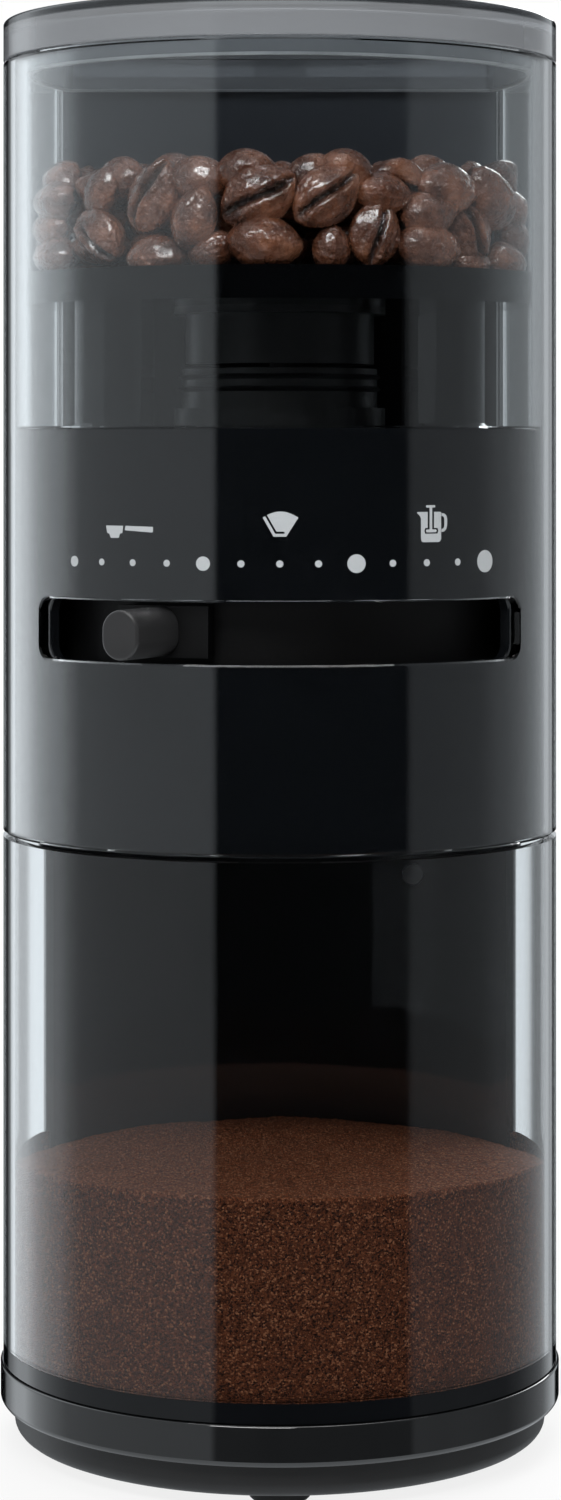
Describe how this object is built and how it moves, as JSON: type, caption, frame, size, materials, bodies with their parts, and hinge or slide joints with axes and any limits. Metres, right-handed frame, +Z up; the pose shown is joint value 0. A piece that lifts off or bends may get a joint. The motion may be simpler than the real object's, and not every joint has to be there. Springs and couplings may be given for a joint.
{
  "type": "burr coffee grinder",
  "caption": "Round tower coffee grinder with a clear bean hopper, conical burrs, a grind setting lever in a slot and a clear sliding bin for the ground coffee.",
  "frame": {"origin": "on the burr axis, at the height of the feet's undersides", "axes": "+Z up along the burr axis, -Y to the front with the lever slot, +X to the right"},
  "size_m": [0.1212, 0.1303, 0.3068],
  "materials": {
    "gloss_black": "polished",
    "matt_black": "fine grained",
    "dark_plastic": "satin",
    "rubber_black": "matt",
    "clear_plastic": "clear moulded plastic",
    "smoky_plastic": "smoke tinted clear plastic",
    "steel": "machined",
    "burr_steel": "hardened",
    "brass": "sintered",
    "board_green": "laminate"
  },
  "bodies": {
    "housing": {"feet": "rubber_black", "base_pan": "matt_black", "base_screws": "steel", "base_ring": "gloss_black", "back_wall": "gloss_black", "rear_shell": "gloss_black", "rear_screws": "steel", "cable_bushing": "rubber_black", "cable_clamp": "matt_black", "outer_sleeve": "clear_plastic", "front_panel": "gloss_black", "hopper_liner": "clear_plastic", "hopper_floor": "gloss_black", "finger_guard": "dark_plastic", "feed_throat": "smoky_plastic", "pillars": "gloss_black", "pillar_screws": "steel", "upper_plate": "gloss_black", "grinding_chamber": "dark_plastic", "chamber_cover": "dark_plastic", "gearbox_cover": "dark_plastic", "gearbox_housing": "dark_plastic", "shaft_bearings": "brass", "idler_pin": "steel", "frame_plate": "matt_black", "frame_columns": "matt_black", "frame_screws": "steel", "grounds_chute": "matt_black", "motor_can": "steel", "motor_brushes": "brass", "motor_mounts": "rubber_black", "control_board": "board_green", "board_parts": "matt_black", "start_switch": "matt_black", "bin_switch": "matt_black", "button_bezel": "gloss_black"},
    "adjuster": {"setting_ring": "dark_plastic", "setting_hub": "dark_plastic", "lever_block": "matt_black", "lever_peg": "dark_plastic"},
    "burr_holder": {"burr_carrier": "gloss_black", "ring_burr": "burr_steel"},
    "spindle": {"drive_shaft": "steel", "cone_burr": "burr_steel", "burr_nut": "steel", "sweeper": "steel", "output_gear": "brass"},
    "idler": {"idler_gear": "steel"},
    "rotor": {"motor_rotor": "steel", "motor_pinion": "steel"},
    "lid": {"lid": "smoky_plastic", "lid_seal": "rubber_black"},
    "bin": {"grounds_bin": "clear_plastic", "bin_sole": "gloss_black"},
    "start_button": {"start_button": "dark_plastic"},
    "bin_pin": {"bin_pin": "dark_plastic"}
  },
  "joints": [
    {"name": "grind_setting", "type": "hinge", "parent": "housing", "child": "adjuster", "pos_m": [0, 0, 0.19], "axis": [0, 0, 1], "range_deg": [-20, 73]},
    {"name": "burr_height", "type": "slide", "parent": "housing", "child": "burr_holder", "axis": [0, 0, 1], "range_m": [-0.0002, 0.00065]},
    {"name": "burr_spin", "type": "hinge", "parent": "housing", "child": "spindle", "pos_m": [0, 0, 0.2], "axis": [0, 0, 1], "continuous": true},
    {"name": "idler_spin", "type": "hinge", "parent": "housing", "child": "idler", "pos_m": [-0.00469, 0.02659, 0.195], "axis": [0, 0, 1], "continuous": true},
    {"name": "rotor_spin", "type": "hinge", "parent": "housing", "child": "rotor", "pos_m": [0.00895, 0.01196, 0.165], "axis": [0, 0, 1], "continuous": true},
    {"name": "lid_lift", "type": "slide", "parent": "housing", "child": "lid", "axis": [0, 0, 1], "range_m": [0, 0.09]},
    {"name": "bin_slide", "type": "slide", "parent": "housing", "child": "bin", "axis": [0, -1, 0], "range_m": [0, 0.13]},
    {"name": "start_press", "type": "slide", "parent": "housing", "child": "start_button", "axis": [-0.6428, -0.766, 0], "range_m": [0, 0.0015], "stiffness_N_per_m": 600, "springref_m": -0.001},
    {"name": "bin_pin_press", "type": "slide", "parent": "housing", "child": "bin_pin", "axis": [0, 1, 0], "range_m": [0, 0.0015], "stiffness_N_per_m": 300, "springref_m": -0.001}
  ],
  "couplings": [
    {"joint": "burr_height", "follows": "grind_setting", "m_per_rad": 0.000477},
    {"joint": "idler_spin", "follows": "burr_spin", "ratio": -4.4},
    {"joint": "rotor_spin", "follows": "burr_spin", "ratio": 13.2}
  ]
}
